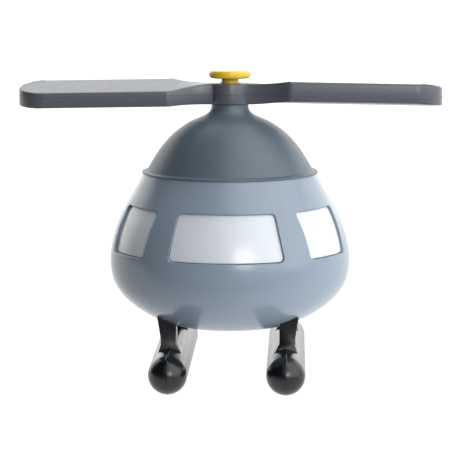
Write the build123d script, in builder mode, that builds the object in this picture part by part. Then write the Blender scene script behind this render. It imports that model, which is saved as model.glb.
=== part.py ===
from build123d import *
import os
from math import cos, radians, sin, sqrt, tan

# A chubby toy helicopter. Millimetres, +Z up, nose towards -Y, the craft's left side is +X.
# The origin is on the ground, below the middle of the whole toy.

# ---------------------------------------------------------------- driving dimensions
# cabin: a pear-shaped shell of revolution about the rotor's axis
cabin_radius = 57.1      # at its widest
belly_radius = 22.0      # flat underside
rim_radius = 41.2        # top edge, under the dome
belly_z = 25.4
widest_z = 55.5
rim_z = 97.5
rim_lean = 0.48          # inward lean of the flank at the rim, per unit of climb
wall = 2.5               # every hull wall
rim_lip = 3.5            # height of the inward rim round the top opening
opening_radius = 38.6    # hole that the dome's spigot drops through
screw_gap = 0.05         # all screws: radial play in their holes
seat_gap = 0.08          # parts that lie against a curved shell

# dome
dome_wall = 2.5
dome_height = 32.45      # cabin rim to the neck's top face
lip_radius = 41.7
lip_height = 0.9
spigot_wall = 2.2
spigot_gap = 0.2
bead_height = 1.7
bead_gap = 0.1           # between the bead and the hull round it
neck_radius = 8.75
pin_boss_radius = 7.5
pin_boss_depth = 18.0    # neck's top face to the boss's underside

# windows: one wide pane in front, two alike on either side
window_bottom = 62.0
window_top = 83.3
front_half_top = 21.7
front_half_bottom = 26.6
side_half_top = 15.0
side_half_bottom = 14.2
side_facing = 57.9       # degrees round from the nose, and the same from the tail
window_corner = 2.0
window_recess = 1.3
pane_gap = 0.1
pane_flange = 1.4        # how far a pane reaches behind the wall
pane_back = 1.3          # thickness of that flange

# main rotor
rotor_span = 200.0
blade_chord = 25.5
blade_root = 28.0        # from the axis to the corner where a blade begins
edge_high_top = 6.0      # thick edge, above and below the parting line
edge_high_bottom = -3.0
edge_low_top = 1.6       # thin edge
edge_low_bottom = -4.9
edge_round = 1.4         # on the thick edge
blade_droop = 1.2        # fall of a tip below the hub
hub_radius = 9.4
hub_half_height = 4.9
waist_half = 5.3         # half width of the arm beside the hub
hub_play = 0.1           # between the neck's top face and the hub

# rotor pin
stem_radius = 4.05
pin_running_gap = 0.08
pin_cap_radius = 9.9
pin_cap_height = 3.7
pin_cap_round = 1.5
pin_shows = 2.4          # stem visible between hub and cap
bore_chamfer = 0.9
washer_radius = 6.3
washer_height = 1.0

# skids
skid_x = 27.1
pontoon_radius = 9.0
pontoon_land = 0.1       # flat worn under each pontoon
pontoon_front = 45.0     # ball centres, ahead of and behind the rotor's axis
pontoon_rear = 52.0
ridge_out = 0.16
ridge_width = 0.5
front_strut = 25.0       # strut centres, ahead of and behind the rotor's axis
rear_strut = 32.0
strut_depth = 9.0
strut_inner = 3.1        # from the pontoon's middle to the upright inner face
strut_outer = 3.95       # and to the outer face, just above the foot
strut_lean = 0.155       # outward lean of the outer face
foot_flare = 2.4
foot_height = 4.6
tenon_width = 6.4
tenon_depth = 7.0
tenon_gap = 0.12
tenon_climb = 10.0       # tenon above the hull's outer face
tower_wall = 2.0

# tail
boom_root_radius = 15.0
boom_root_back = 38.0
boom_root_z = 74.0
boom_end_radius = 8.2
boom_end_back = 112.0
boom_end_z = 81.0
boom_blend = 5.0
plug_length = 9.0
plug_gap = 0.1
tail_end = 138.0         # rear edge of the fin, behind the rotor's axis
fin_thickness = 5.0
fin_top_z = 109.0
fin_bottom_z = 68.0
fin_corner = 1.2
tail_hub_back = 127.0
tail_hub_z = 85.0
tail_screw_sink = 0.9    # depth of the flat seat for its screw head
tail_rotor_span = 42.0
tail_blade_width = 9.0
tail_hub_radius = 5.6
tail_rotor_height = 4.0
tail_stem_radius = 2.5
tail_cap_radius = 5.4
tail_cap_height = 2.6
tail_play = 0.15
tail_clearance = 0.6     # between the boom and the blade that passes beside it
tail_boss_taper = 8.0    # degrees
wing_span = 60.0
wing_chord = 15.0
wing_thickness = 3.0
wing_back = 90.0
wing_corner = 4.0
wing_gap = 0.1

# screws, all self-tapping with pan heads
screw_radius = 1.4
screw_head_radius = 2.7
screw_head_height = 2.0
skid_screw_length = 9.0
hull_screw_length = 16.0
pin_screw_length = 9.0
tail_screw_length = 6.5
hull_boss_radius = 3.4
lower_boss_x = 43.0
lower_boss_z = 46.0
upper_boss_x = 24.0
upper_boss_z = 88.3
hull_boss_grip = 7.0     # seam to the seat of a screw head

# ---------------------------------------------------------------- worked out from them
axis_y = (cabin_radius - tail_end) / 2
rotor_axis = Axis((0, axis_y, 0), (0, 0, 1))
axis_plane = Plane(origin=(0, axis_y, 0), x_dir=(1, 0, 0), z_dir=(0, -1, 0))
neck_top = rim_z + dome_height
rotor_z = neck_top + hub_play + hub_half_height
hub_top = rotor_z + hub_half_height
cap_z = hub_top + pin_shows
hole_radius = screw_radius + screw_gap
far = 3 * rotor_span
flank_steps = 16


def level(height):
    """Level plane at this height, centred on the rotor's axis."""
    return Plane(origin=(0, axis_y, height))


# ---------------------------------------------------------------- cabin outline
def lower_flank(reach, drop):
    """A point between the belly's edge (0, 1) and the widest line (1, 0)."""
    radius = belly_radius + reach * (cabin_radius - belly_radius)
    return (radius, widest_z - drop * (widest_z - belly_z))


def upper_flank(reach, climb):
    """A point between the rim (0, 1) and the widest line (1, 0)."""
    radius = rim_radius + reach * (cabin_radius - rim_radius)
    return (radius, widest_z + climb * (rim_z - widest_z))


flank_outline = [
    lower_flank(0.0, 1.0),
    lower_flank(0.41, 0.877),
    lower_flank(0.72, 0.648),
    lower_flank(0.934, 0.349),
    lower_flank(1.0, 0.0),
    upper_flank(0.912, 0.25),
    upper_flank(0.648, 0.536),
    upper_flank(0.239, 0.821),
    upper_flank(0.0, 1.0),
]
flank_ends = [(1, 0), (-rim_lean, 1)]


def moved_in(curve, inset):
    """Points along a curve that climbs anticlockwise, moved towards its inside by inset."""
    points = []
    for step in range(flank_steps + 1):
        share = step / flank_steps
        along = curve % share
        points.append(curve @ share + inset * Vector(-along.Y, along.X))
    return points


def cabin_body(inset, top=rim_z):
    """The cabin as a full solid, its outline moved in by inset and cut level at top."""
    with BuildPart() as body:
        with BuildSketch(axis_plane):
            with BuildLine():
                outer = Spline(*flank_outline, tangents=flank_ends, mode=Mode.PRIVATE)
                side = Spline(*moved_in(outer, inset))
                start = side @ 0
                end = side @ 1
                Polyline(end, (0, end.Y), (0, start.Y), start)
            make_face()
        revolve(axis=rotor_axis)
        if top < rim_z:
            split(bisect_by=Plane.XY.offset(top), keep=Keep.BOTTOM)
    return body.part


cabin_outer = cabin_body(0)
cabin_cavity = cabin_body(wall, rim_z - rim_lip)
cabin_recess = cabin_body(window_recess)
cabin_seat = cabin_body(wall + seat_gap)
cabin_pane_back = cabin_body(wall + pane_back)
cabin_bearing = cabin_body(-seat_gap)
cabin_mid_wall = cabin_body(wall / 2)


# ---------------------------------------------------------------- windows
def facing_plane(angle):
    """Upright plane through the rotor's axis that faces this far round from the nose."""
    turn = radians(angle)
    outward = (sin(turn), -cos(turn), 0)
    across = (cos(turn), sin(turn), 0)
    return Plane(origin=(0, axis_y, 0), x_dir=across, z_dir=outward)


def window_prism(angle, half_top, half_bottom, grow):
    """Straight prism through one window, its outline grown all round by grow."""
    with BuildPart() as prism:
        with BuildSketch(facing_plane(angle).offset(cabin_radius / 3)):
            with BuildLine():
                Polyline(
                    (-half_top, window_top),
                    (half_top, window_top),
                    (half_bottom, window_bottom),
                    (-half_bottom, window_bottom),
                    close=True,
                )
            make_face()
            fillet(vertices(), radius=window_corner)
            if grow:
                offset(amount=grow, mode=Mode.REPLACE)
        extrude(amount=cabin_radius)
    return prism.part


def window_pane(angle, half_top, half_bottom):
    """Moulded pane: a plug in the opening on a flange behind the wall."""
    with BuildPart() as plug:
        add(window_prism(angle, half_top, half_bottom, -pane_gap))
        add(cabin_recess, mode=Mode.INTERSECT)
    with BuildPart() as pane:
        add(window_prism(angle, half_top, half_bottom, pane_flange))
        add(cabin_seat, mode=Mode.INTERSECT)
        add(plug.part)
        add(cabin_pane_back, mode=Mode.SUBTRACT)
    return pane.part


# ---------------------------------------------------------------- hull details
def screw_post(x, z, back):
    """Boss along Y from the seam to the wall, behind the seam when back is 1, else ahead."""
    with BuildPart() as post:
        seam = Plane(origin=(x, axis_y, z), x_dir=(1, 0, 0), z_dir=(0, back, 0))
        with BuildSketch(seam):
            Circle(hull_boss_radius)
        extrude(amount=cabin_radius)
        add(cabin_mid_wall, mode=Mode.INTERSECT)
    return post.part


def screw_drill(x, z, radius, start, length):
    """Round hole along Y that starts this far behind the seam."""
    with BuildPart() as drill:
        mouth = Plane(origin=(x, axis_y + start, z), x_dir=(1, 0, 0), z_dir=(0, 1, 0))
        with BuildSketch(mouth):
            Circle(radius)
        extrude(amount=length)
    return drill.part


def belly_height(x, back):
    """Height of the cabin's outer face under this point."""
    reach = sqrt(x * x + back * back)
    outer = Spline(*flank_outline, tangents=flank_ends)
    low = 0.0
    high = 0.45
    for halving in range(40):
        middle = (low + high) / 2
        if (outer @ middle).X < reach:
            low = middle
        else:
            high = middle
    return (outer @ low).Y


tenon_x = skid_x + (strut_outer - strut_inner) / 2 + 0.6


def tenon_top(back):
    """Height of a tenon's end, for a strut this far behind the rotor's axis."""
    return belly_height(tenon_x, back) + tenon_climb


def tower_outside(side, back):
    """Outside of the box that takes a strut's tenon."""
    with BuildPart() as tower:
        with BuildSketch(Plane(origin=(side * tenon_x, axis_y + back, belly_z))):
            grow = 2 * (tenon_gap + tower_wall)
            Rectangle(tenon_width + grow, tenon_depth + grow)
        extrude(amount=tenon_top(back) + tenon_gap + tower_wall - belly_z)
        add(cabin_mid_wall, mode=Mode.INTERSECT)
    return tower.part


def tower_inside(side, back):
    """Slot for the tenon, with the hole for its screw through the roof."""
    with BuildPart() as slot:
        base = Plane(origin=(side * tenon_x, axis_y + back, belly_z - foot_height))
        with BuildSketch(base):
            Rectangle(tenon_width + 2 * tenon_gap, tenon_depth + 2 * tenon_gap)
        extrude(amount=tenon_top(back) + tenon_gap - belly_z + foot_height)
        with BuildSketch(base):
            Circle(hole_radius)
        extrude(amount=tenon_top(back) + tower_wall + tenon_climb - belly_z)
    return slot.part


hull_screw_places = []
for hull_side in (1, -1):
    hull_screw_places.append((hull_side * lower_boss_x, lower_boss_z))
    hull_screw_places.append((hull_side * upper_boss_x, upper_boss_z))
front_windows = [
    (0, front_half_top, front_half_bottom),
    (side_facing, side_half_top, side_half_bottom),
    (-side_facing, side_half_top, side_half_bottom),
]
rear_windows = [
    (180 - side_facing, side_half_top, side_half_bottom),
    (side_facing - 180, side_half_top, side_half_bottom),
]
seam_plane = Plane(origin=(0, axis_y, 0), x_dir=(1, 0, 0), z_dir=(0, 1, 0))

# ---------------------------------------------------------------- front hull
with BuildPart() as front_hull:
    add(cabin_outer)
    add(cabin_cavity, mode=Mode.SUBTRACT)
    with BuildSketch(level(rim_z - rim_lip - 1)):
        Circle(opening_radius)
    extrude(amount=rim_lip + 2, mode=Mode.SUBTRACT)
    split(bisect_by=seam_plane, keep=Keep.BOTTOM)
    for window in front_windows:
        add(window_prism(*window, 0), mode=Mode.SUBTRACT)
    for place in hull_screw_places:
        add(screw_post(*place, -1))
    for hull_side in (1, -1):
        add(tower_outside(hull_side, -front_strut))
    for hull_side in (1, -1):
        add(tower_inside(hull_side, -front_strut), mode=Mode.SUBTRACT)
    pilot_depth = hull_screw_length - hull_boss_grip + 1
    for place in hull_screw_places:
        add(screw_drill(*place, hole_radius, -pilot_depth, pilot_depth + 1), mode=Mode.SUBTRACT)
front_hull.part.label = "front_hull"

# ---------------------------------------------------------------- rear hull with the boom
boom_run = Vector(0, boom_end_back - boom_root_back, boom_end_z - boom_root_z)


def boom_plane(back):
    """Plane square to the boom, where the boom is this far behind the rotor's axis."""
    share = (back - boom_root_back) / (boom_end_back - boom_root_back)
    middle = Vector(0, axis_y + boom_root_back, boom_root_z) + share * boom_run
    return Plane(origin=middle, x_dir=(1, 0, 0), z_dir=boom_run)


def boom_radius(back):
    """Outer radius of the boom there."""
    share = (back - boom_root_back) / (boom_end_back - boom_root_back)
    return boom_root_radius + share * (boom_end_radius - boom_root_radius)


def boom_cone(inset, start, end):
    """The tapered boom as a solid between two places, its side moved in by inset."""
    with BuildPart() as cone:
        for back in (start, end):
            with BuildSketch(boom_plane(back)):
                Circle(boom_radius(back) - inset)
        loft()
    return cone.part


def wing_outline(grow):
    """The tail wing as a solid, grown all round by grow."""
    with BuildPart() as wing:
        with BuildSketch(boom_plane(wing_back)):
            Rectangle(wing_span + 2 * grow, wing_thickness + 2 * grow)
        extrude(amount=wing_chord / 2 + grow, both=True)
        through = Axis((0, 0, 0), boom_plane(wing_back).y_dir)
        fillet(wing.edges().filter_by(through), radius=wing_corner + grow)
    return wing.part


tail_screw_back = boom_end_back - plug_length / 2
tail_screw_plane = boom_plane(tail_screw_back)
tail_screw_down = tail_screw_plane.y_dir * -1
tail_screw_seat = boom_radius(tail_screw_back) - tail_screw_sink


def tail_screw_drill(radius, start, length):
    """Hole across the boom that starts this far below its middle and runs down."""
    with BuildPart() as drill:
        mouth = tail_screw_plane.origin + start * tail_screw_down
        with BuildSketch(Plane(origin=mouth, x_dir=(1, 0, 0), z_dir=tail_screw_down)):
            Circle(radius)
        extrude(amount=length)
    return drill.part


with BuildPart() as rear_hull:
    add(cabin_outer)
    split(bisect_by=seam_plane, keep=Keep.TOP)
    add(boom_cone(0, boom_root_back, boom_end_back))
    curved_edges = rear_hull.edges().filter_by(GeomType.BSPLINE)
    long_edges = curved_edges.filter_by(lambda edge: edge.length > 4 * boom_root_radius)
    joint_edges = long_edges.filter_by(lambda edge: edge.center().Y > axis_y + boom_root_back)
    fillet(joint_edges, radius=boom_blend)
    add(cabin_cavity, mode=Mode.SUBTRACT)
    add(boom_cone(wall, boom_root_back, boom_end_back + 1), mode=Mode.SUBTRACT)
    with BuildSketch(level(rim_z - rim_lip - 1)):
        Circle(opening_radius)
    extrude(amount=rim_lip + 2, mode=Mode.SUBTRACT)
    for window in rear_windows:
        add(window_prism(*window, 0), mode=Mode.SUBTRACT)
    for place in hull_screw_places:
        add(screw_post(*place, 1))
    for hull_side in (1, -1):
        add(tower_outside(hull_side, rear_strut))
    for hull_side in (1, -1):
        add(tower_inside(hull_side, rear_strut), mode=Mode.SUBTRACT)
    for place in hull_screw_places:
        add(screw_drill(*place, hole_radius, -1, far), mode=Mode.SUBTRACT)
        add(screw_drill(*place, screw_head_radius + 0.2, hull_boss_grip, far), mode=Mode.SUBTRACT)
    add(wing_outline(wing_gap), mode=Mode.SUBTRACT)
    add(tail_screw_drill(hole_radius, 0, boom_root_radius), mode=Mode.SUBTRACT)
    add(tail_screw_drill(screw_head_radius + 0.2, tail_screw_seat, boom_root_radius), mode=Mode.SUBTRACT)
rear_hull.part.label = "rear_hull"

# ---------------------------------------------------------------- dome
spigot_radius = opening_radius - spigot_gap
spigot_inner = spigot_radius - spigot_wall
cavity_rim_radius = rim_radius + rim_lean * rim_lip - wall * sqrt(1 + rim_lean ** 2)
bead_radius = cavity_rim_radius - bead_gap
bead_top = rim_z - rim_lip - 0.1
lip_top = rim_z + lip_height


def crown(reach, climb):
    """A point between the neck (0, 1) and the dome's foot (1, 0)."""
    radius = neck_radius + reach * (rim_radius - 1.8 - neck_radius)
    return (radius, lip_top + 0.5 + climb * (neck_top - lip_top - 0.5))


crown_outline = [
    crown(1.0, 0.0),
    crown(0.901, 0.166),
    crown(0.796, 0.325),
    crown(0.689, 0.453),
    crown(0.578, 0.565),
    crown(0.447, 0.663),
    crown(0.315, 0.742),
    crown(0.15, 0.812),
    crown(0.035, 0.885),
    crown(0.0, 1.0),
]
boss_bottom = neck_top - pin_boss_depth
with BuildPart() as dome:
    with BuildSketch(axis_plane):
        with BuildLine():
            outer_crown = Spline(*crown_outline)
            shoulder = Spline(*crown_outline[:7], mode=Mode.PRIVATE)
            inner_crown = Spline(*moved_in(shoulder, dome_wall))
            foot = outer_crown @ 0
            Polyline(
                inner_crown @ 0,
                (spigot_inner, (inner_crown @ 0).Y),
                (spigot_inner, bead_top - bead_height),
                (bead_radius, bead_top - bead_height),
                (bead_radius, bead_top),
                (spigot_radius, bead_top),
                (spigot_radius, rim_z),
                (lip_radius, rim_z),
                (lip_radius, lip_top),
                foot,
            )
            Polyline(
                outer_crown @ 1,
                (stem_radius + seat_gap, neck_top),
                (stem_radius + seat_gap, boss_bottom),
                (pin_boss_radius, boss_bottom),
                (pin_boss_radius, (inner_crown @ 1).Y),
                inner_crown @ 1,
            )
        make_face()
    revolve(axis=rotor_axis)
dome.part.label = "dome"

# ---------------------------------------------------------------- rotor pin, washer and screw
pin_bottom = boss_bottom + 1.0
with BuildPart() as rotor_pin:
    with BuildSketch(level(cap_z)):
        Circle(pin_cap_radius)
    extrude(amount=pin_cap_height)
    fillet(rotor_pin.edges(), radius=pin_cap_round)
    with BuildSketch(level(pin_bottom)):
        Circle(stem_radius)
    extrude(amount=cap_z + pin_cap_height / 2 - pin_bottom)
    with BuildSketch(level(pin_bottom)):
        Circle(hole_radius)
    extrude(amount=pin_screw_length + 1, mode=Mode.SUBTRACT)
rotor_pin.part.label = "rotor_pin"

with BuildPart() as pin_washer:
    with BuildSketch(level(boss_bottom - washer_height)):
        Circle(washer_radius)
        Circle(hole_radius, mode=Mode.SUBTRACT)
    extrude(amount=washer_height)
pin_washer.part.label = "pin_washer"


def screw(seat, length):
    """Self-tapping screw: seat is a plane under the head, its normal along the shank."""
    with BuildPart() as fastener:
        with BuildSketch(seat):
            Circle(screw_radius)
        extrude(amount=length)
        with BuildSketch(seat):
            Circle(screw_head_radius)
        extrude(amount=-screw_head_height)
        head_top = fastener.faces().sort_by(Axis(seat.origin, seat.z_dir))[0]
        fillet(head_top.edges(), radius=0.8)
    return fastener.part


pin_screw_seat = Plane(origin=(0, axis_y, boss_bottom - washer_height), z_dir=(0, 0, 1))
with BuildPart() as pin_screw:
    add(screw(pin_screw_seat, pin_screw_length))
pin_screw.part.label = "pin_screw"

# ---------------------------------------------------------------- main rotor
tip_centre = rotor_span / 2 - blade_chord / 2
rotor_plane = level(rotor_z)
waist_x = sqrt(hub_radius ** 2 - waist_half ** 2)


def rotor_outline(height, start):
    """Plan of the whole rotor, extruded up from start."""
    half = blade_chord / 2
    with BuildPart() as plan:
        with BuildSketch(rotor_plane.offset(start)):
            with BuildLine():
                for side in (1, -1):
                    for edge in (1, -1):
                        ThreePointArc(
                            (side * waist_x, edge * waist_half),
                            (side * (waist_x + 10), edge * (waist_half + 1.9)),
                            (side * blade_root, edge * half),
                        )
                        Line((side * blade_root, edge * half), (side * tip_centre, edge * half))
                    ThreePointArc(
                        (side * tip_centre, half),
                        (side * rotor_span / 2, 0),
                        (side * tip_centre, -half),
                    )
                for edge in (1, -1):
                    ThreePointArc(
                        (waist_x, edge * waist_half),
                        (0, edge * hub_radius),
                        (-waist_x, edge * waist_half),
                    )
            make_face()
        extrude(amount=height)
    return plan.part


def blade_section(side, x, drop, rounding):
    """Cross-section of the blade on one side, at x, lowered by drop, its thick edge rounded."""
    half = blade_chord / 2
    at = Plane(origin=(side * x, axis_y, rotor_z - drop), x_dir=(0, side, 0), z_dir=(side, 0, 0))
    slope_top = (edge_low_top - edge_high_top) / blade_chord
    slope_bottom = (edge_low_bottom - edge_high_bottom) / blade_chord
    with BuildSketch(at) as section:
        with BuildLine():
            Polyline(
                (-half, edge_high_top),
                (half + 1, edge_low_top + slope_top),
                (half + 1, edge_low_bottom + slope_bottom),
                (-half, edge_high_bottom),
                close=True,
            )
        make_face()
        if rounding:
            fillet(section.vertices().group_by(Axis.Y)[0 if side > 0 else -1], radius=rounding)
    return section.sketch


def arm_section(side, x):
    """Level cross-section beside the hub."""
    at = Plane(origin=(side * x, axis_y, rotor_z), x_dir=(0, side, 0), z_dir=(side, 0, 0))
    with BuildSketch(at) as section:
        Rectangle(blade_chord + 2, 2 * hub_half_height)
    return section.sketch


def blade_body(side):
    """One blade and its arm, before they are trimmed to the rotor's plan."""
    with BuildPart() as body:
        add(blade_section(side, blade_root, 0, edge_round))
        add(blade_section(side, rotor_span / 2 + 1, blade_droop, edge_round))
        loft()
        add(arm_section(side, waist_x - 2))
        add(blade_section(side, blade_root, 0, 0))
        loft()
    return body.part


with BuildPart() as main_rotor:
    add(blade_body(1))
    add(blade_body(-1))
    with BuildSketch(rotor_plane):
        Circle(hub_radius + 1)
    extrude(amount=hub_half_height, both=True)
    add(rotor_outline(4 * hub_half_height, -2 * hub_half_height), mode=Mode.INTERSECT)
    with BuildSketch(level(rotor_z - far / 2)):
        Circle(stem_radius + pin_running_gap)
    extrude(amount=far, mode=Mode.SUBTRACT)
    with BuildSketch(axis_plane):
        with BuildLine():
            rim_of_bore = stem_radius + pin_running_gap
            Polyline(
                (0, hub_top + 1),
                (rim_of_bore + bore_chamfer + 1, hub_top + 1),
                (rim_of_bore, hub_top - bore_chamfer),
                (0, hub_top - bore_chamfer),
                close=True,
            )
        make_face()
    revolve(axis=rotor_axis, mode=Mode.SUBTRACT)
main_rotor.part.label = "main_rotor"


# ---------------------------------------------------------------- skids
pontoon_z = pontoon_radius - pontoon_land


def strut(side, back):
    """One strut from inside the pontoon up into the cabin, with its tenon."""
    across = Plane(origin=(side * skid_x, axis_y + back, 0), x_dir=(side, 0, 0), z_dir=(0, -side, 0))
    foot_z = pontoon_z + pontoon_radius - 2.0
    knee_z = foot_z + foot_height
    top_z = widest_z - 4
    with BuildPart() as upright:
        with BuildSketch(across):
            with BuildLine():
                Polyline(
                    (-strut_inner, top_z),
                    (-strut_inner, knee_z),
                    (-strut_inner - foot_flare, foot_z),
                    (-strut_inner - foot_flare, pontoon_z),
                    (strut_outer + foot_flare - 0.9, pontoon_z),
                    (strut_outer + foot_flare - 0.9, foot_z),
                    (strut_outer, knee_z),
                    (strut_outer + strut_lean * (top_z - knee_z), top_z),
                    close=True,
                )
            make_face()
        extrude(amount=strut_depth, both=True)
        along = Plane(origin=(side * skid_x, axis_y + back, 0), x_dir=(0, 1, 0), z_dir=(1, 0, 0))
        half = strut_depth / 2
        with BuildSketch(along):
            with BuildLine():
                Polyline(
                    (-half, top_z),
                    (-half, knee_z),
                    (-half - foot_flare / 2, foot_z),
                    (-half - foot_flare / 2, pontoon_z),
                    (half + foot_flare / 2, pontoon_z),
                    (half + foot_flare / 2, foot_z),
                    (half, knee_z),
                    (half, top_z),
                    close=True,
                )
            make_face()
        extrude(amount=4 * strut_outer, both=True, mode=Mode.INTERSECT)
        add(cabin_bearing, mode=Mode.SUBTRACT)
        with BuildSketch(Plane(origin=(side * tenon_x, axis_y + back, pontoon_z))):
            Rectangle(tenon_width, tenon_depth)
        extrude(amount=tenon_top(back) - pontoon_z)
        with BuildSketch(Plane(origin=(side * tenon_x, axis_y + back, tenon_top(back)))):
            Circle(hole_radius)
        extrude(amount=-skid_screw_length, mode=Mode.SUBTRACT)
    return upright.part


def skid(side):
    """One moulding: a round-ended pontoon, its moulding ridge and two struts."""
    start = axis_y - pontoon_front
    end = axis_y + pontoon_rear
    middle = (start + end) / 2
    length = end - start
    pontoon_axis = Axis((side * skid_x, 0, pontoon_z), (0, 1, 0))
    mid_point = (side * skid_x, middle, pontoon_z)
    upright_plane = Plane(origin=mid_point, x_dir=(0, 1, 0), z_dir=(1, 0, 0))
    with BuildPart() as runner:
        with BuildSketch(upright_plane):
            SlotCenterToCenter(length, 2 * (pontoon_radius + ridge_out))
        extrude(amount=ridge_width / 2, both=True)
        with BuildSketch(upright_plane):
            SlotCenterToCenter(length, 2 * pontoon_radius)
            lower_half = (Align.CENTER, Align.MAX)
            Rectangle(2 * length, 4 * pontoon_radius, align=lower_half, mode=Mode.SUBTRACT)
        revolve(axis=pontoon_axis)
        add(strut(side, -front_strut))
        add(strut(side, rear_strut))
        split(bisect_by=Plane.XY, keep=Keep.TOP)
    return runner.part


with BuildPart() as left_skid:
    add(skid(1))
left_skid.part.label = "left_skid"

with BuildPart() as right_skid:
    add(skid(-1))
right_skid.part.label = "right_skid"

with BuildPart() as skid_screws:
    for skid_side in (1, -1):
        for strut_back in (-front_strut, rear_strut):
            roof = tenon_top(strut_back) + tenon_gap + tower_wall
            seat_at = (skid_side * tenon_x, axis_y + strut_back, roof)
            add(screw(Plane(origin=seat_at, z_dir=(0, 0, -1)), skid_screw_length))
skid_screws.part.label = "skid_screws"

with BuildPart() as hull_screws:
    for screw_x, screw_z in hull_screw_places:
        seat_at = (screw_x, axis_y + hull_boss_grip, screw_z)
        add(screw(Plane(origin=seat_at, z_dir=(0, -1, 0)), hull_screw_length))
hull_screws.part.label = "hull_screws"

# ---------------------------------------------------------------- windows
with BuildPart() as windscreen:
    add(window_pane(*front_windows[0]))
windscreen.part.label = "windscreen"

with BuildPart() as left_front_window:
    add(window_pane(*front_windows[1]))
left_front_window.part.label = "left_front_window"

with BuildPart() as right_front_window:
    add(window_pane(*front_windows[2]))
right_front_window.part.label = "right_front_window"

with BuildPart() as left_rear_window:
    add(window_pane(*rear_windows[0]))
left_rear_window.part.label = "left_rear_window"

with BuildPart() as right_rear_window:
    add(window_pane(*rear_windows[1]))
right_rear_window.part.label = "right_rear_window"

# ---------------------------------------------------------------- tail
tail_axis_y = axis_y + tail_hub_back
fin_face = fin_thickness / 2
blade_reach_back = tail_hub_back - tail_rotor_span / 2
tail_seat = boom_radius(blade_reach_back) + tail_clearance
tail_boss_face = tail_seat - tail_play
tail_boss_spread = tail_boss_face * tan(radians(tail_boss_taper))


def tail_disc(out):
    """Plane across the tail rotor's axis, this far out from the middle of the fin."""
    return Plane(origin=(out, tail_axis_y, tail_hub_z), x_dir=(0, 1, 0), z_dir=(1, 0, 0))


with BuildPart() as tail_fin:
    add(boom_cone(wall + plug_gap, boom_end_back - plug_length, boom_end_back + 1))
    with BuildSketch(boom_plane(boom_end_back)):
        Circle(boom_end_radius)
    extrude(amount=3)
    with BuildSketch(Plane(origin=(0, axis_y, 0), x_dir=(0, 1, 0), z_dir=(1, 0, 0))) as fin_outline:
        with BuildLine():
            fin_base = boom_end_back + 0.6
            Polyline(
                (fin_base, boom_end_z - 6),
                (fin_base + 2, fin_bottom_z + 3),
                (fin_base + 8, fin_bottom_z),
                (fin_base + 16, fin_bottom_z + 3),
                (tail_end, tail_hub_z + 4),
                (tail_end, fin_top_z - 4),
                (tail_end - 4, fin_top_z),
                (tail_end - 13, fin_top_z),
                (fin_base + 1, tail_hub_z + 6),
                close=True,
            )
        make_face()
        fillet(fin_outline.vertices(), radius=fin_corner)
    extrude(amount=fin_face, both=True)
    with BuildSketch(tail_disc(0)):
        Circle(tail_hub_radius - 0.6 + tail_boss_spread)
    extrude(amount=tail_boss_face, taper=tail_boss_taper)
    with BuildSketch(tail_disc(0)):
        Circle(tail_stem_radius + seat_gap)
    extrude(amount=far, both=True, mode=Mode.SUBTRACT)
    add(tail_screw_drill(hole_radius, 0, boom_root_radius), mode=Mode.SUBTRACT)
tail_fin.part.label = "tail_fin"

with BuildPart() as tail_screw:
    seat_at = tail_screw_plane.origin + tail_screw_seat * tail_screw_down
    add(screw(Plane(origin=seat_at, z_dir=tail_screw_down * -1), tail_screw_length))
tail_screw.part.label = "tail_screw"

with BuildPart() as tail_rotor:
    with BuildSketch(tail_disc(tail_seat)):
        SlotOverall(tail_rotor_span, tail_blade_width, rotation=90)
    extrude(amount=tail_rotor_height * 0.75)
    with BuildSketch(tail_disc(tail_seat)):
        Circle(tail_hub_radius)
    extrude(amount=tail_rotor_height)
    with BuildSketch(tail_disc(tail_seat)):
        Circle(tail_stem_radius + pin_running_gap)
    extrude(amount=tail_rotor_height, mode=Mode.SUBTRACT)
tail_rotor.part.label = "tail_rotor"

with BuildPart() as tail_pin:
    cap_seat = tail_seat + tail_rotor_height + tail_play
    with BuildSketch(tail_disc(cap_seat)):
        Circle(tail_cap_radius)
    extrude(amount=tail_cap_height)
    fillet(tail_pin.edges(), radius=0.9)
    with BuildSketch(tail_disc(-fin_face)):
        Circle(tail_stem_radius)
    extrude(amount=fin_face + cap_seat + 0.5)
tail_pin.part.label = "tail_pin"

with BuildPart() as tail_wing:
    add(wing_outline(0))
tail_wing.part.label = "tail_wing"

# ---------------------------------------------------------------- output
pieces = [
    front_hull,
    rear_hull,
    dome,
    windscreen,
    left_front_window,
    right_front_window,
    left_rear_window,
    right_rear_window,
    main_rotor,
    rotor_pin,
    pin_washer,
    pin_screw,
    left_skid,
    right_skid,
    skid_screws,
    hull_screws,
    tail_fin,
    tail_screw,
    tail_rotor,
    tail_pin,
    tail_wing,
]
os.makedirs("parts", exist_ok=True)
for piece in pieces:
    export_step(piece.part, f"parts/{piece.part.label}.step")
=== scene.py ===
import bmesh
import bpy
from math import cos, hypot, pi, radians, sin
from mathutils import Matrix, Vector


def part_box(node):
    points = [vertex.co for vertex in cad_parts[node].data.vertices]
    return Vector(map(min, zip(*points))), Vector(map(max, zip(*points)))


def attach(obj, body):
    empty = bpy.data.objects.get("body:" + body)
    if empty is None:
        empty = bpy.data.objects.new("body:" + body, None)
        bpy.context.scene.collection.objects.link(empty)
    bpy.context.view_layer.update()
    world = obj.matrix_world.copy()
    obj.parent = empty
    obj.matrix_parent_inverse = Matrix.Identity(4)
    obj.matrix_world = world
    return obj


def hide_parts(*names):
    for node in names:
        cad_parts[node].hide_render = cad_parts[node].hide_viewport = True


# A chubby toy helicopter on a pale table. Metres, +Z up, nose towards -Y, craft's left side +X.

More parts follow.
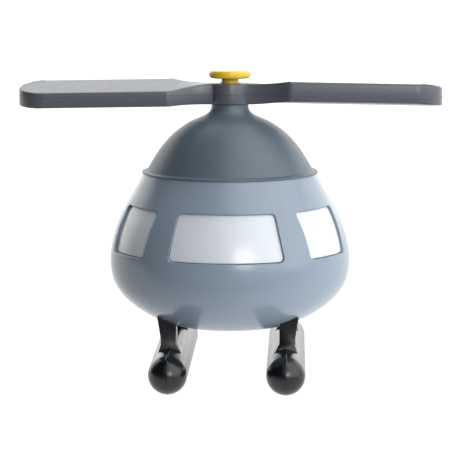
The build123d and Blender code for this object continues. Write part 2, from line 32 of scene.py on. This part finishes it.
MM = 0.001
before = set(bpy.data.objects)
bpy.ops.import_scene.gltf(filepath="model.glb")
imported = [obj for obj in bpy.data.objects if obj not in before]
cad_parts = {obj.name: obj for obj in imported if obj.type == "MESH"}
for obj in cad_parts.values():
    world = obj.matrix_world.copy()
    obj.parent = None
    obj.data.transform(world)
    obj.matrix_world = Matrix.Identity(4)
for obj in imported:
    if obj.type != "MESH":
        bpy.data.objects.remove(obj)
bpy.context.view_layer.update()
bpy.ops.object.select_all(action="DESELECT")
scene = bpy.context.scene
scene.view_settings.view_transform = "Standard"

# ---------------------------------------------------------------- sizes
same_place = 0.002 * MM   # corners this close are one corner
crease_angle = radians(35)
belly_radius = 22.0 * MM
window_bottom = 62.0 * MM
window_top = 83.3 * MM
cabin_inside = 46 * MM    # everything nearer the rotor's axis is inside the windows' band
window_rim_round = 0.8 * MM
pane_round = 0.35 * MM
seam_chamfer = 0.12 * MM
lip_inside = 41.6 * MM    # the dome's lip stands further out than this
lip_round = 0.3 * MM
tail_corner_round = 0.35 * MM

blade_root = 28.0 * MM
blade_half = 12.75 * MM
tip_centre = 87.25 * MM   # of the round end of a blade
blade_droop = 1.2 * MM
droop_reach = 101.0 * MM
edge_high_top = 6.5 * MM  # thick edge, above and below the parting line
edge_high_bottom = -3.0 * MM
edge_low_top = 1.6 * MM   # thin edge
edge_low_bottom = -5.5 * MM
thick_edge_round = 1.3 * MM
blade_edge_round = 0.6 * MM
root_corner_round = 1.2 * MM
flash_radius = 0.24 * MM
upright_least = 1.5 * MM  # an edge that climbs more than this is upright
rotor_z = 134.95 * MM
hub_radius = 9.4 * MM
hub_half_height = 4.9 * MM
hub_edge_round = 0.7 * MM
bore_radius = 4.13 * MM
bore_chamfer = 0.9 * MM
arm_start = 5.5 * MM      # inside the hub
arm_sunk = 0.04 * MM      # arm's top and bottom below the hub's
waist_x = 7.76 * MM
waist_half = 5.3 * MM
arm_share = 0.3           # shares of the flat grid that become the arm and the straight blade
blade_share = 0.72

strut_from = 15.5 * MM    # height where the round runner ends and the struts begin
skid_edge_round = 0.45 * MM
ridge_radius = 0.3 * MM
ridge_sunk = 0.12 * MM
ridge_end = radians(60)   # the ridge stops this far below the middle of each ball
rotor_low, rotor_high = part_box("main_rotor")
axis_y = (rotor_low.y + rotor_high.y) / 2


# ---------------------------------------------------------------- helpers
def choose(*pieces):
    """Makes these the only selected objects, the first of them active."""
    bpy.ops.object.select_all(action="DESELECT")
    for piece in pieces:
        piece.select_set(True)
    bpy.context.view_layer.objects.active = pieces[0]


def copy_of_node(node, name):
    """A copy of a CAD node's mesh with its loose triangles joined up."""
    piece = bpy.data.objects.new(name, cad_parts[node].data.copy())
    scene.collection.objects.link(piece)
    piece.data.materials.clear()
    choose(piece)
    bpy.ops.mesh.customdata_custom_splitnormals_clear()
    bpy.ops.object.mode_set(mode="EDIT")
    bpy.ops.mesh.select_all(action="SELECT")
    bpy.ops.mesh.remove_doubles(threshold=same_place)
    bpy.ops.mesh.select_all(action="DESELECT")
    bpy.ops.object.mode_set(mode="OBJECT")
    return piece


def round_edges(piece, wanted, width, segments):
    """Bevels the edges that wanted(edge) picks out."""
    choose(piece)
    bpy.ops.object.mode_set(mode="EDIT")
    bpy.ops.mesh.select_mode(type="EDGE")
    body = bmesh.from_edit_mesh(piece.data)
    body.edges.ensure_lookup_table()
    for edge in body.edges:
        edge.select_set(len(edge.link_faces) == 2 and wanted(edge))
    bmesh.update_edit_mesh(piece.data)
    bpy.ops.mesh.bevel(offset=width, segments=segments, profile=0.5, clamp_overlap=False)
    bpy.ops.mesh.select_all(action="DESELECT")
    bpy.ops.object.mode_set(mode="OBJECT")


def shade_like(piece, node):
    """Smooths a copy and gives its untouched faces the CAD node's own normals."""
    choose(piece)
    bpy.ops.object.shade_smooth_by_angle(angle=crease_angle)
    body = bmesh.new()
    body.from_mesh(piece.data)
    smooth = []
    for corner in body.verts:
        sharp = False
        for edge in corner.link_edges:
            if len(edge.link_faces) != 2 or edge.calc_face_angle(0) > crease_angle:
                sharp = True
        if not sharp:
            smooth.append(corner.index)
    body.free()
    group = piece.vertex_groups.new(name="smooth")
    group.add(smooth, 1.0, "REPLACE")
    borrowed = piece.modifiers.new("borrowed", "DATA_TRANSFER")
    borrowed.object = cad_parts[node]
    borrowed.use_loop_data = True
    borrowed.data_types_loops = {"CUSTOM_NORMAL"}
    borrowed.loop_mapping = "POLYINTERP_NEAREST"
    borrowed.vertex_group = "smooth"
    bpy.ops.object.modifier_apply(modifier="borrowed")
    piece.vertex_groups.clear()


def settle(piece, body, node, material):
    """Puts a finished piece on its body in place of its CAD node."""
    piece.data.materials.clear()
    piece.data.materials.append(material)
    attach(piece, body)
    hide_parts(node)


def colour(code):
    """Linear RGBA of an sRGB hex colour."""
    channels = []
    for start in (0, 2, 4):
        share = int(code[start:start + 2], 16) / 255
        channels.append(share / 12.92 if share <= 0.04045 else ((share + 0.055) / 1.055) ** 2.4)
    return (*channels, 1.0)


def add_node(tree, kind, sockets=None, **settings):
    """Adds a shader node with its settings, and its sockets' values or the outputs that feed them."""
    made = tree.nodes.new("ShaderNode" + kind)
    for name, value in settings.items():
        setattr(made, name, value)
    for name, value in (sockets or {}).items():
        if isinstance(value, bpy.types.NodeSocket):
            tree.links.new(value, made.inputs[name])
        else:
            made.inputs[name].default_value = value
    return made


# ---------------------------------------------------------------- materials
def moulded_plastic(name, main, deeper, roughness, ripple, ripple_depth, grain, grain_depth):
    """Injection-moulded plastic: flow mottling, a slow ripple in the skin and a fine grain.

    Ripple and grain are the real widths in metres, and their depths are metres too.
    """
    material = bpy.data.materials.new(name)
    material.use_nodes = True
    tree = material.node_tree
    tree.nodes.clear()
    place = add_node(tree, "TexCoord")
    flow = add_node(tree, "TexNoise", {
        "Vector": place.outputs["Object"], "Scale": 1 / (22 * MM), "Detail": 3.0, "Roughness": 0.55,
    })
    tint = add_node(tree, "Mix", {
        "Factor": flow.outputs["Fac"], "A": colour(main), "B": colour(deeper),
    }, data_type="RGBA")
    scuffs = add_node(tree, "TexNoise", {
        "Vector": place.outputs["Object"], "Scale": 1 / (3.5 * MM), "Detail": 6.0, "Roughness": 0.7,
    })
    dulled = add_node(tree, "MapRange", {
        "Value": scuffs.outputs["Fac"], "From Min": 0.3, "From Max": 0.75,
        "To Min": roughness * 0.88, "To Max": roughness * 1.2,
    })
    waves = add_node(tree, "TexNoise", {
        "Vector": place.outputs["Object"], "Scale": 1 / ripple, "Detail": 1.0,
    })
    skin = add_node(tree, "Bump", {
        "Height": waves.outputs["Fac"], "Distance": ripple_depth, "Strength": 1.0,
    })
    specks = add_node(tree, "TexNoise", {
        "Vector": place.outputs["Object"], "Scale": 1 / grain, "Detail": 2.0,
    })
    finish = add_node(tree, "Bump", {
        "Height": specks.outputs["Fac"], "Distance": grain_depth, "Strength": 1.0,
        "Normal": skin.outputs["Normal"],
    })
    shader = add_node(tree, "BsdfPrincipled", {
        "Base Color": tint.outputs["Result"], "Roughness": dulled.outputs["Result"],
        "Normal": finish.outputs["Normal"], "IOR": 1.52,
    })
    add_node(tree, "OutputMaterial", {"Surface": shader.outputs["BSDF"]})
    return material


# Polished ABS shell: a deep even gloss with a faint ripple from shrinkage.
hull_plastic = moulded_plastic(
    "polished_abs_blue_grey", "7E8C9A", "768492", 0.2, 9 * MM, 0.012 * MM, 0.9 * MM, 0.0008 * MM)
# The dome's mould was blasted, so the same ABS comes out satin.
dome_plastic = moulded_plastic(
    "satin_abs_slate", "505D68", "4A5761", 0.42, 8 * MM, 0.01 * MM, 0.7 * MM, 0.004 * MM)
# The rotor is tougher, satin polypropylene with a greasy sheen.
rotor_plastic = moulded_plastic(
    "satin_polypropylene_grey", "54585F", "4E525A", 0.31, 10 * MM, 0.02 * MM, 0.8 * MM, 0.004 * MM)
# The pin is glossy acetal.
pin_plastic = moulded_plastic(
    "glossy_acetal_yellow", "E0BE36", "D6B02A", 0.24, 6 * MM, 0.01 * MM, 0.7 * MM, 0.001 * MM)
# The skids are polished ABS again, nearly black.
skid_plastic = moulded_plastic(
    "polished_abs_blue_black", "090B10", "07090D", 0.25, 7 * MM, 0.012 * MM, 0.8 * MM, 0.002 * MM)
# The panes are opaque white styrene.
window_plastic = moulded_plastic(
    "polished_styrene_white", "C8CDD4", "C2C7CF", 0.2, 12 * MM, 0.008 * MM, 0.9 * MM, 0.0006 * MM)


def zinc_steel():
    """Zinc-plated steel of the screws: bright, faintly blue and a little blotched."""
    material = bpy.data.materials.new("zinc_plated_steel")
    material.use_nodes = True
    tree = material.node_tree
    tree.nodes.clear()
    place = add_node(tree, "TexCoord")
    blotch = add_node(tree, "TexNoise", {
        "Vector": place.outputs["Object"], "Scale": 1 / (1.5 * MM), "Detail": 4.0,
    })
    tint = add_node(tree, "Mix", {
        "Factor": blotch.outputs["Fac"], "A": colour("C6CACF"), "B": colour("AEB3BA"),
    }, data_type="RGBA")
    dulled = add_node(tree, "MapRange", {
        "Value": blotch.outputs["Fac"], "To Min": 0.24, "To Max": 0.42,
    })
    shader = add_node(tree, "BsdfPrincipled", {
        "Base Color": tint.outputs["Result"], "Roughness": dulled.outputs["Result"], "Metallic": 1.0,
    })
    add_node(tree, "OutputMaterial", {"Surface": shader.outputs["BSDF"]})
    return material


steel = zinc_steel()


# ---------------------------------------------------------------- hull
def from_axis(point):
    """Distance of a point from the rotor's axis."""
    return hypot(point.x, point.y - axis_y)


def faces_out(face):
    """How far a face of the cabin looks away from the rotor's axis, from -1 to 1."""
    middle = face.calc_center_median()
    away = Vector((middle.x, middle.y - axis_y, 0)).normalized()
    return face.normal.dot(away)


def window_rim(edge):
    """Edges where the cabin's outer skin turns in to a window."""
    middle = (edge.verts[0].co + edge.verts[1].co) / 2
    on_seam = abs(edge.verts[0].co.y - axis_y) < 0.01 * MM
    if on_seam or not window_bottom - MM < middle.z < window_top + MM:
        return False
    if from_axis(middle) < cabin_inside or edge.calc_face_angle(0) < radians(40):
        return False
    looks = sorted(faces_out(face) for face in edge.link_faces)
    return looks[1] > 0.75 and looks[0] < 0.6


def seam_line(edge):
    """Outer edges of the joint between the two hull halves."""
    ends = [abs(end.co.y - axis_y) < 0.01 * MM for end in edge.verts]
    if not all(ends) or edge.calc_face_angle(0) < radians(60):
        return False
    middle = (edge.verts[0].co + edge.verts[1].co) / 2
    return max(faces_out(face) for face in edge.link_faces) > -0.2 and abs(middle.x) > belly_radius


for node in ("front_hull", "rear_hull"):
    shell = copy_of_node(node, node + "_shell")
    round_edges(shell, window_rim, window_rim_round, 3)
    round_edges(shell, seam_line, seam_chamfer, 1)
    shade_like(shell, node)
    settle(shell, "airframe", node, hull_plastic)


# ---------------------------------------------------------------- panes
def pane_outline(edge):
    """Edges round the plug that fills a window."""
    if edge.calc_face_angle(0) < radians(40):
        return False
    looks = sorted(faces_out(face) for face in edge.link_faces)
    return looks[1] > 0.75 and looks[0] < 0.6 and edge.calc_face_angle_signed(0) > 0


pane_nodes = [
    "windscreen", "left_front_window", "right_front_window", "left_rear_window", "right_rear_window",
]
for node in pane_nodes:
    pane = copy_of_node(node, node + "_pane")
    round_edges(pane, pane_outline, pane_round, 2)
    shade_like(pane, node)
    settle(pane, "airframe", node, window_plastic)


# ---------------------------------------------------------------- dome
def dome_lip(edge):
    """The two outer edges of the dome's lip."""
    middle = (edge.verts[0].co + edge.verts[1].co) / 2
    return from_axis(middle) > lip_inside and edge.calc_face_angle(0) > radians(40)


dome = copy_of_node("dome", "dome_cover")
round_edges(dome, dome_lip, lip_round, 2)
shade_like(dome, "dome")
settle(dome, "airframe", "dome", dome_plastic)


# ---------------------------------------------------------------- main rotor
def arm_half_width(x):
    """Half width of the rotor's plan between the hub and a blade's root."""
    share = max(0.0, x - waist_x) / (blade_root - waist_x)
    return waist_half + (blade_half - waist_half) * (0.1 * share + 0.9 * share ** 2.2)


def blade_heights(x, y):
    """Top and bottom of the blade on +X, measured from the parting line."""
    across = (y + blade_half) / (2 * blade_half)
    top = edge_high_top + across * (edge_low_top - edge_high_top)
    bottom = edge_high_bottom + across * (edge_low_bottom - edge_high_bottom)
    blended = min(1.0, max(0.0, (x - waist_x) / (blade_root - waist_x)))
    ease = blended * blended * (3 - 2 * blended)
    level = hub_half_height - arm_sunk
    return (level + ease * (top - level), ease * (bottom + level) - level)


def plan_point(along, across):
    """Where a point of the flat grid goes in the rotor's plan: along 0 to 1, across -1 to 1."""
    if along <= arm_share:
        x = arm_start + along / arm_share * (blade_root - arm_start)
        return (x, across * arm_half_width(x))
    if along <= blade_share:
        share = (along - arm_share) / (blade_share - arm_share)
        return (blade_root + share * (tip_centre - blade_root), across * blade_half)
    share = (along - blade_share) / (1 - blade_share)
    turn = across * pi / 2
    return (
        tip_centre + share * blade_half * cos(turn),
        blade_half * ((1 - share) * across + share * sin(turn)),
    )


def blade_rim(edge, thick):
    """Top and bottom edges round one half of the rotor; the thick edge is the one towards -Y."""
    if edge.calc_face_angle(0) < radians(45):
        return False
    ends = [end.co for end in edge.verts]
    upright = abs(ends[0].z - ends[1].z) > upright_least
    middle = (ends[0] + ends[1]) / 2
    if upright or middle.x < waist_x:
        return False
    on_thick = middle.y < -0.6 * blade_half and middle.x > blade_root + MM
    return on_thick == thick


def root_corner(edge):
    """Upright corners where the arm's flare meets the straight blade."""
    ends = [end.co for end in edge.verts]
    upright = abs(ends[0].z - ends[1].z) > upright_least
    at_root = abs(ends[0].x - blade_root) < 0.8 * MM and abs(ends[0].y) > 0.9 * blade_half
    return upright and at_root and edge.calc_face_angle(0) > radians(12)


def traced(name, route):
    """A string of edges through these points, left open in edit mode."""
    bpy.ops.mesh.primitive_plane_add(size=MM)
    made = bpy.context.object
    made.name = name
    bpy.ops.object.mode_set(mode="EDIT")
    bpy.ops.mesh.select_mode(type="VERT")
    bpy.ops.mesh.select_all(action="SELECT")
    bpy.ops.mesh.merge(type="CENTER")
    bpy.ops.transform.translate(value=route[0])
    for before, after in zip(route, route[1:]):
        step = Vector(after) - Vector(before)
        bpy.ops.mesh.extrude_region_move(TRANSFORM_OT_translate={"value": step})
    return made


def spun(name, outline, steps=96):
    """A body of revolution about the rotor's axis from a closed outline of (radius, z) points."""
    made = traced(name, [(radius, axis_y, z) for radius, z in (*outline, outline[0])])
    bpy.ops.mesh.select_all(action="SELECT")
    bpy.ops.mesh.spin(steps=steps, angle=2 * pi, center=(0, axis_y, 0), axis=(0, 0, 1))
    bpy.ops.mesh.select_all(action="SELECT")
    bpy.ops.mesh.remove_doubles(threshold=0.001 * MM)
    bpy.ops.mesh.normals_make_consistent(inside=False)
    bpy.ops.mesh.select_all(action="DESELECT")
    bpy.ops.object.mode_set(mode="OBJECT")
    return made


def quarter_round(radius, z, start, inward, steps=4):
    """Points round one outer corner of the hub, turning a quarter from a start angle.

    The corner is at radius and z, and inward is 1 at the hub's bottom and -1 at its top.
    """
    points = []
    for step in range(steps + 1):
        turn = start + step / steps * pi / 2
        points.append((
            radius - hub_edge_round + hub_edge_round * cos(turn),
            z + inward * hub_edge_round + hub_edge_round * sin(turn),
        ))
    return points


def fall_at(x):
    """How far the blade hangs below the hub's level here."""
    return max(0.0, x - blade_root) / (droop_reach - blade_root) * blade_droop


def half_rotor():
    """One arm and blade along +X, with its axis at the origin."""
    bpy.ops.mesh.primitive_grid_add(x_subdivisions=60, y_subdivisions=12, size=2)
    made = bpy.context.object
    for corner in made.data.vertices:
        x, y = plan_point((corner.co.x + 1) / 2, corner.co.y)
        corner.co = (x, y, 0)
    bpy.ops.object.mode_set(mode="EDIT")
    bpy.ops.mesh.select_all(action="SELECT")
    bpy.ops.mesh.remove_doubles(threshold=same_place)
    bpy.ops.mesh.extrude_region_move(TRANSFORM_OT_translate={"value": (0, 0, 10 * MM)})
    bpy.ops.mesh.select_all(action="SELECT")
    bpy.ops.mesh.normals_make_consistent(inside=False)
    bpy.ops.object.mode_set(mode="OBJECT")
    for corner in made.data.vertices:
        top, bottom = blade_heights(corner.co.x, corner.co.y)
        corner.co.z = (top if corner.co.z > 5 * MM else bottom) - fall_at(corner.co.x)
    round_edges(made, root_corner, root_corner_round, 3)
    round_edges(made, lambda edge: blade_rim(edge, True), thick_edge_round, 4)
    round_edges(made, lambda edge: blade_rim(edge, False), blade_edge_round, 3)
    return made


def bead(name, route, radius):
    """A thin round bead along a route, closed at its ends."""
    made = traced(name, route)
    bpy.ops.object.mode_set(mode="OBJECT")
    bpy.ops.object.convert(target="CURVE")
    made.data.bevel_depth = radius
    made.data.bevel_resolution = 1
    made.data.use_fill_caps = True
    bpy.ops.object.convert(target="MESH")
    bpy.ops.object.mode_set(mode="EDIT")
    bpy.ops.mesh.select_all(action="SELECT")
    bpy.ops.mesh.remove_doubles(threshold=same_place)
    bpy.ops.object.mode_set(mode="OBJECT")
    bpy.ops.object.shade_smooth_by_angle(angle=radians(32))
    return made


def half_flash():
    """The thin line of flash at the parting line, round the same half."""
    plan = []
    for step in range(61):
        plan.append(plan_point(step / 60 * blade_share, -1))
    for step in range(1, 24):
        plan.append(plan_point(1, -1 + step / 12))
    for step in range(61):
        plan.append(plan_point((1 - step / 60) * blade_share, 1))
    return bead("flash", [(x, y, -fall_at(x)) for x, y in plan], flash_radius)


blade = half_rotor()
flash = half_flash()
hub = spun("rotor_blades", [
    (bore_radius, rotor_z - hub_half_height),
    *quarter_round(hub_radius, rotor_z - hub_half_height, -pi / 2, 1),
    (hub_radius, rotor_z - flash_radius),
    (hub_radius + flash_radius, rotor_z),
    (hub_radius, rotor_z + flash_radius),
    *quarter_round(hub_radius, rotor_z + hub_half_height, 0, -1),
    (bore_radius + bore_chamfer, rotor_z + hub_half_height),
    (bore_radius, rotor_z + hub_half_height - bore_chamfer),
])
parts = [hub]
for half in (blade, flash):
    other = half.copy()
    other.data = half.data.copy()
    scene.collection.objects.link(other)
    for piece, turn in ((half, 0), (other, pi)):
        piece.data.transform(Matrix.Translation((0, axis_y, rotor_z)) @ Matrix.Rotation(turn, 4, "Z"))
        parts.append(piece)
for piece in parts:
    choose(piece)
    bpy.ops.object.shade_smooth_by_angle(angle=radians(32))
choose(*parts)
bpy.ops.object.join()
rotor = bpy.context.object
settle(rotor, "main_rotor", "main_rotor", rotor_plastic)

# ---------------------------------------------------------------- rotor pin
pin = copy_of_node("rotor_pin", "rotor_cap_pin")
shade_like(pin, "rotor_pin")
settle(pin, "airframe", "rotor_pin", pin_plastic)


# ---------------------------------------------------------------- skids
def skid_corner(edge):
    """Corners of the struts, above the pontoon."""
    middle = (edge.verts[0].co + edge.verts[1].co) / 2
    return edge.calc_face_angle(0) > radians(30) and middle.z > strut_from


def parting_ridge(low, high):
    """The ridge that the mould's halves left along a runner, from ball to ball over its top."""
    ball = (high.x - low.x) / 2
    reach = ball - ridge_sunk
    middle_x = (low.x + high.x) / 2
    route = []
    for step in range(49):
        turn = pi + ridge_end - step / 48 * (ridge_end + pi / 2)
        route.append((middle_x, low.y + ball + reach * cos(turn), ball + reach * sin(turn)))
    for step in range(49):
        turn = pi / 2 - step / 48 * (ridge_end + pi / 2)
        route.append((middle_x, high.y - ball + reach * cos(turn), ball + reach * sin(turn)))
    return bead("parting_ridge", route, ridge_radius)


for node in ("left_skid", "right_skid"):
    skid = copy_of_node(node, node + "_runner")
    round_edges(skid, skid_corner, skid_edge_round, 2)
    shade_like(skid, node)
    ridge = parting_ridge(*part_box(node))
    choose(skid, ridge)
    bpy.ops.object.join()
    settle(skid, "airframe", node, skid_plastic)


# ---------------------------------------------------------------- tail
def any_corner(edge):
    """Every hard corner."""
    return edge.calc_face_angle(0) > radians(40)


tail_pieces = [
    ("tail_fin", "airframe", "dome_plastic", dome_plastic),
    ("tail_wing", "airframe", "dome_plastic", dome_plastic),
    ("tail_rotor", "tail_rotor", "rotor_plastic", rotor_plastic),
    ("tail_pin", "airframe", "pin_plastic", pin_plastic),
]
for node, body, slot, material in tail_pieces:
    piece = copy_of_node(node, node + "_moulding")
    round_edges(piece, any_corner, tail_corner_round, 2)
    choose(piece)
    bpy.ops.object.shade_smooth_by_angle(angle=crease_angle)
    settle(piece, body, node, material)

for node in ("pin_washer", "pin_screw", "skid_screws", "hull_screws", "tail_screw"):
    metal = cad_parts[node]
    for place in range(len(metal.data.materials)):
        metal.material_slots[place].material = steel

# ---------------------------------------------------------------- table, light and camera
bpy.ops.object.select_all(action="DESELECT")
bpy.ops.mesh.primitive_plane_add(size=24)
table = bpy.context.object
table.name = "table"
# Backlit acrylic: an even white to look at. What it throws on the toy is weaker from the left and
# the front, and what the toy mirrors of it is weaker in front, which gives the toy its dark sides.
surface = bpy.data.materials.new("backlit_white_acrylic")
surface.use_nodes = True
panel = surface.node_tree
panel.nodes.clear()
spot = add_node(panel, "TexCoord")
parts_of_spot = add_node(panel, "SeparateXYZ", {"Vector": spot.outputs["Object"]})
rightwards = add_node(panel, "MapRange", {
    "Value": parts_of_spot.outputs["X"], "From Min": -0.12, "From Max": 0.08, "To Min": 0.08, "To Max": 1.25,
}, interpolation_type="SMOOTHSTEP")
backwards = add_node(panel, "MapRange", {
    "Value": parts_of_spot.outputs["Y"], "From Min": -0.34, "From Max": -0.08, "To Min": 0.2, "To Max": 1.3,
}, interpolation_type="SMOOTHSTEP")
pool = add_node(panel, "Math", {
    0: rightwards.outputs["Result"], 1: backwards.outputs["Result"],
}, operation="MULTIPLY")
shine = add_node(panel, "MapRange", {
    "Value": parts_of_spot.outputs["Y"], "From Min": -0.19, "From Max": -0.08, "To Min": 0.06, "To Max": 1.05,
}, interpolation_type="SMOOTHSTEP")
ray = add_node(panel, "LightPath")
thrown = add_node(panel, "Mix", {
    "Factor": ray.outputs["Is Diffuse Ray"], "A": shine.outputs["Result"], "B": pool.outputs["Value"],
}, data_type="FLOAT")
pale = add_node(panel, "Mix", {
    "Factor": ray.outputs["Is Camera Ray"], "A": thrown.outputs["Result"], "B": 0.97,
}, data_type="FLOAT")
top = add_node(panel, "BsdfPrincipled", {
    "Base Color": colour("4C4C4C"), "Roughness": 0.6, "Specular IOR Level": 0.2,
    "Emission Color": (1, 1, 1, 1), "Emission Strength": pale.outputs["Result"],
})
add_node(panel, "OutputMaterial", {"Surface": top.outputs["BSDF"]})
table.data.materials.append(surface)


def soft_light(name, place, size, power, shape="SQUARE", aim=(0, -0.04, 0.08)):
    """An area light at a place, facing the toy."""
    lamp = bpy.data.lights.new(name, "AREA")
    lamp.shape = shape
    lamp.size = size
    lamp.energy = power
    made = bpy.data.objects.new(name, lamp)
    scene.collection.objects.link(made)
    made.location = place
    made.rotation_euler = (Vector(aim) - Vector(place)).to_track_quat("-Z", "Y").to_euler()
    return made


soft_light("round_softbox", (0.28, -1.06, 0.33), 0.4, 2.6, "DISK")
soft_light("overhead_softbox", (0.3, -0.1, 1.2), 0.7, 1.8)

# The room: a broad bright wall ahead on the right and a white sweep behind, dark elsewhere.
sky = bpy.data.worlds.new("studio")
scene.world = sky
sky.use_nodes = True
room = sky.node_tree
room.nodes.clear()
facing = add_node(room, "TexCoord")
towards_wall = add_node(room, "VectorMath", {
    0: facing.outputs["Generated"], 1: Vector((0.72, -0.5, 0.5)).normalized(),
}, operation="DOT_PRODUCT")
wall_light = add_node(room, "MapRange", {
    "Value": towards_wall.outputs["Value"], "From Min": 0.42, "From Max": 1.0, "To Min": 0.02, "To Max": 2.55,
}, interpolation_type="SMOOTHSTEP")
towards_sweep = add_node(room, "VectorMath", {
    0: facing.outputs["Generated"], 1: Vector((0.05, 0.99, 0.12)).normalized(),
}, operation="DOT_PRODUCT")
sweep_light = add_node(room, "MapRange", {
    "Value": towards_sweep.outputs["Value"], "From Min": 0.28, "From Max": 0.58, "To Min": 0.0, "To Max": 1.9,
}, interpolation_type="SMOOTHSTEP")
both = add_node(room, "Math", {
    0: wall_light.outputs["Result"], 1: sweep_light.outputs["Result"],
}, operation="ADD")
light = add_node(room, "Background", {"Color": (1, 1, 1, 1), "Strength": both.outputs["Value"]})
add_node(room, "OutputWorld", {"Surface": light.outputs["Background"]})

# The camera looks slightly down from a little to the craft's left of its nose.
view_turn = radians(2.0)
view_pitch = radians(8.0)
view_distance = 898 * MM
view_height = 196 * MM
lens = bpy.data.cameras.new("camera")
lens.sensor_width = 36.0
lens.lens = 148.69565
lens.clip_start = 0.05
camera = bpy.data.objects.new("camera", lens)
scene.collection.objects.link(camera)
camera.location = (
    view_distance * sin(view_turn),
    axis_y - view_distance * cos(view_turn),
    view_height,
)
camera.rotation_euler = (pi / 2 - view_pitch, 0, view_turn)
scene.camera = camera
